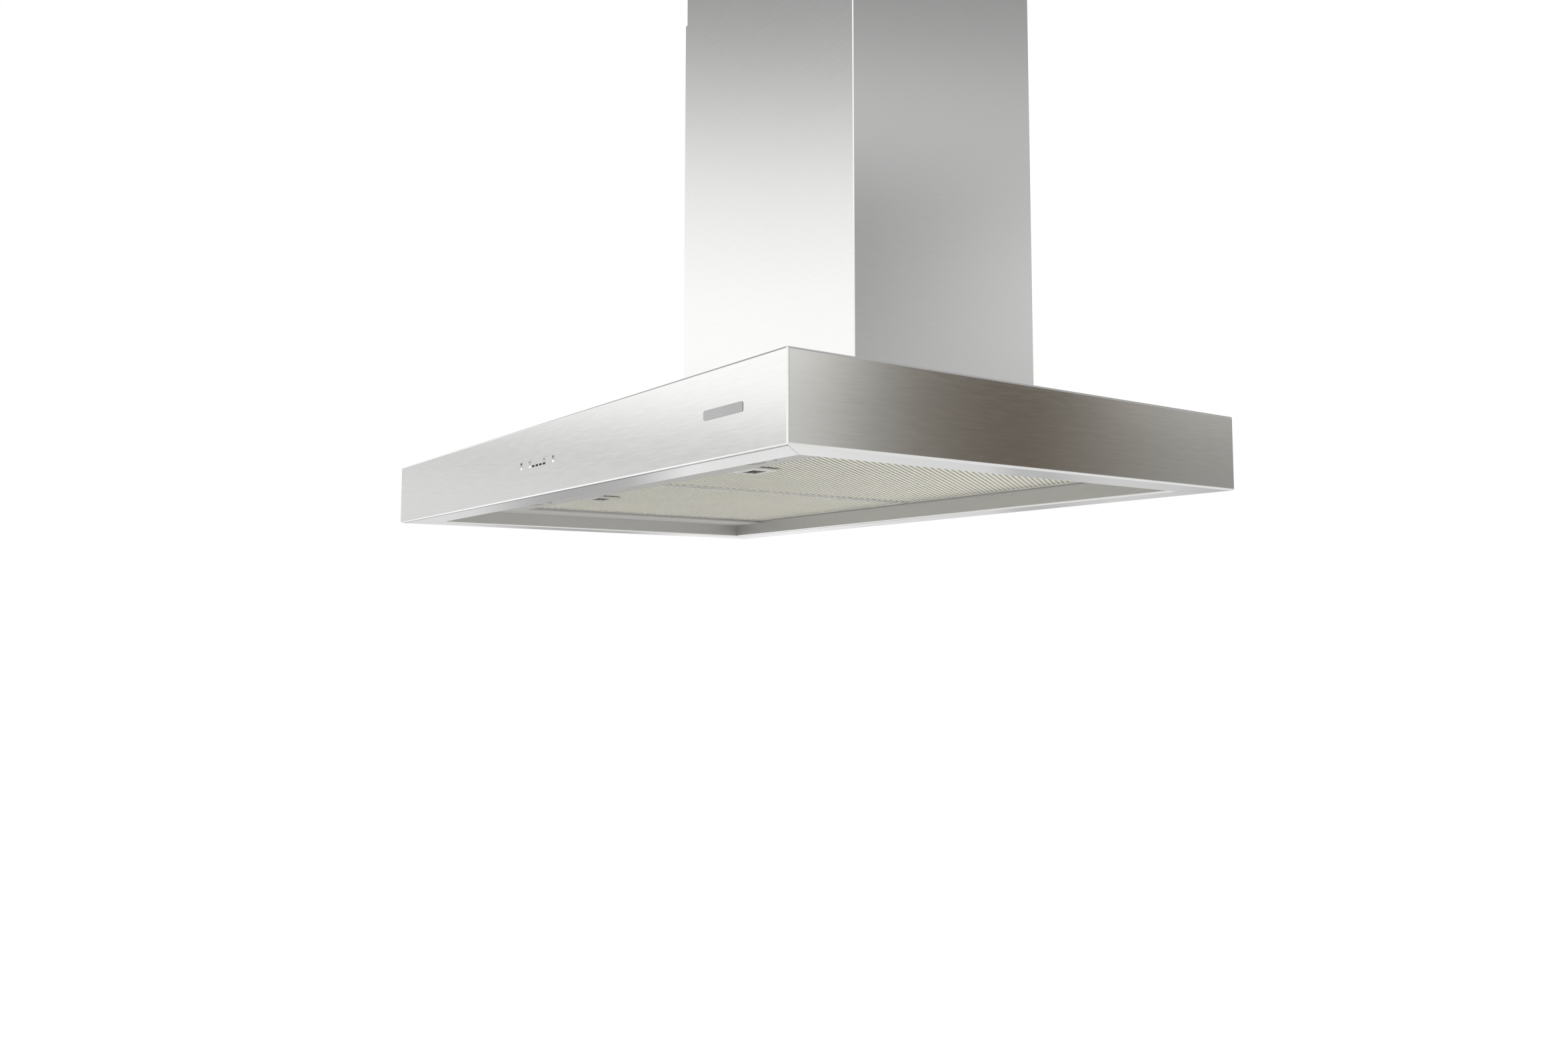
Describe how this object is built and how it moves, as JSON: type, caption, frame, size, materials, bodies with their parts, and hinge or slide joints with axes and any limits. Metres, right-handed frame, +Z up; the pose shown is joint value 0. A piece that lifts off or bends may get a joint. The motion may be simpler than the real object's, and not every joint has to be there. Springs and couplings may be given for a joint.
{
  "type": "wall chimney range hood",
  "caption": "Flat box canopy range hood with two hinged mesh filters, push keys, lamps, an inside blower and a telescoping duct cover for a wall.",
  "frame": {"origin": "centre of the wall bolt pattern, on the plane of the wall and half way up the canopy box", "axes": "+X to the right seen from the front, +Y into the wall, +Z up"},
  "size_m": [0.914, 0.5676, 0.928],
  "materials": {
    "brushed_stainless": "fine horizontal brushed grain, satin",
    "satin_liner": "satin",
    "badge_grey": "flat grey, blank",
    "lit_window": "translucent white light guide",
    "dark_window": "smoked black light guide",
    "black_plastic": "moulded, fine texture",
    "circuit_board": "green solder resist",
    "lamp_glass": "frosted",
    "cast_aluminium": "cast, finned",
    "white_plastic": "moulded",
    "filter_aluminium": "satin",
    "mesh_aluminium": "layered expanded mesh",
    "spring_steel": "bright wire",
    "galvanised": "zinc coated sheet, faint spangle",
    "shaft_steel": "ground",
    "motor_paint": "grey enamel",
    "damper_plastic": "moulded",
    "screw_steel": "zinc plated"
  },
  "bodies": {
    "hood": {"canopy_wrap": "brushed_stainless", "front_rim": "brushed_stainless", "back_panel": "brushed_stainless", "top_panel": "brushed_stainless", "filter_tray": "satin_liner", "filter_centre_bar": "satin_liner", "filter_rear_rail": "satin_liner", "blank_badge": "badge_grey", "lit_windows": "lit_window", "dark_windows": "dark_window", "control_carrier": "black_plastic", "control_board": "circuit_board", "lamp_left_bezel": "satin_liner", "lamp_left_lens": "lamp_glass", "lamp_left_body": "cast_aluminium", "lamp_right_bezel": "satin_liner", "lamp_right_lens": "lamp_glass", "lamp_right_body": "cast_aluminium", "led_driver": "white_plastic", "control_module": "black_plastic", "blower_box": "galvanised", "scroll_wrap": "galvanised", "scroll_side_left": "galvanised", "scroll_side_right": "galvanised", "motor": "motor_paint", "motor_bracket": "galvanised", "motor_capacitor": "white_plastic", "duct_collar": "black_plastic", "junction_box": "galvanised", "junction_cover": "galvanised", "cable_gland": "black_plastic", "lower_duct_cover": "brushed_stainless", "cover_base_clips": "galvanised", "canopy_screws": "screw_steel", "blower_screws": "screw_steel"},
    "filter_left": {"filter_left_frame": "filter_aluminium", "filter_left_face": "mesh_aluminium", "filter_left_core": "mesh_aluminium", "filter_left_back": "mesh_aluminium", "latch_left_case": "filter_aluminium", "latch_left_spring": "spring_steel"},
    "filter_right": {"filter_right_frame": "filter_aluminium", "filter_right_face": "mesh_aluminium", "filter_right_core": "mesh_aluminium", "filter_right_back": "mesh_aluminium", "latch_right_case": "filter_aluminium", "latch_right_spring": "spring_steel"},
    "latch_left": {"latch_left_bolt": "black_plastic"},
    "latch_right": {"latch_right_bolt": "black_plastic"},
    "key_lights": {"key_lights": "brushed_stainless"},
    "key_slower": {"key_slower": "brushed_stainless"},
    "key_faster": {"key_faster": "brushed_stainless"},
    "key_fan": {"key_fan": "brushed_stainless"},
    "rotor": {"impeller": "black_plastic", "rotor_shaft": "shaft_steel"},
    "damper_front": {"damper_front": "damper_plastic"},
    "damper_rear": {"damper_rear": "damper_plastic"},
    "upper_cover": {"upper_duct_cover": "brushed_stainless", "upper_cover_bracket": "galvanised", "upper_cover_screws": "screw_steel"}
  },
  "joints": [
    {"name": "filter_left_hinge", "type": "hinge", "parent": "hood", "child": "filter_left", "pos_m": [-0.17335, -0.051, -0.0135], "axis": [1, 0, 0], "range_deg": [0, 80]},
    {"name": "latch_left_slide", "type": "slide", "parent": "filter_left", "child": "latch_left", "axis": [0, 1, 0], "range_m": [0, 0.006], "stiffness_N_per_m": 300, "springref_m": -0.004, "deforming": ["latch_left_spring"]},
    {"name": "filter_right_hinge", "type": "hinge", "parent": "hood", "child": "filter_right", "pos_m": [0.17335, -0.051, -0.0135], "axis": [1, 0, 0], "range_deg": [0, 80]},
    {"name": "latch_right_slide", "type": "slide", "parent": "filter_right", "child": "latch_right", "axis": [0, 1, 0], "range_m": [0, 0.006], "stiffness_N_per_m": 300, "springref_m": -0.004, "deforming": ["latch_right_spring"]},
    {"name": "key_lights_press", "type": "slide", "parent": "hood", "child": "key_lights", "axis": [0, 1, 0], "range_m": [0, 0.0006], "stiffness_N_per_m": 2500, "springref_m": -0.0002},
    {"name": "key_slower_press", "type": "slide", "parent": "hood", "child": "key_slower", "axis": [0, 1, 0], "range_m": [0, 0.0006], "stiffness_N_per_m": 2500, "springref_m": -0.0002},
    {"name": "key_faster_press", "type": "slide", "parent": "hood", "child": "key_faster", "axis": [0, 1, 0], "range_m": [0, 0.0006], "stiffness_N_per_m": 2500, "springref_m": -0.0002},
    {"name": "key_fan_press", "type": "slide", "parent": "hood", "child": "key_fan", "axis": [0, 1, 0], "range_m": [0, 0.0006], "stiffness_N_per_m": 2500, "springref_m": -0.0002},
    {"name": "rotor_spin", "type": "hinge", "parent": "hood", "child": "rotor", "pos_m": [0, -0.16073, 0.15949], "axis": [1, 0, 0], "continuous": true},
    {"name": "damper_front_swing", "type": "hinge", "parent": "hood", "child": "damper_front", "pos_m": [0, -0.08982, 0.3155], "axis": [-1, 0, 0], "range_deg": [0, 80]},
    {"name": "damper_rear_swing", "type": "hinge", "parent": "hood", "child": "damper_rear", "pos_m": [0, -0.08182, 0.3155], "axis": [1, 0, 0], "range_deg": [0, 80]},
    {"name": "upper_cover_slide", "type": "slide", "parent": "hood", "child": "upper_cover", "axis": [0, 0, 1], "range_m": [-0.2, 0.25]}
  ]
}
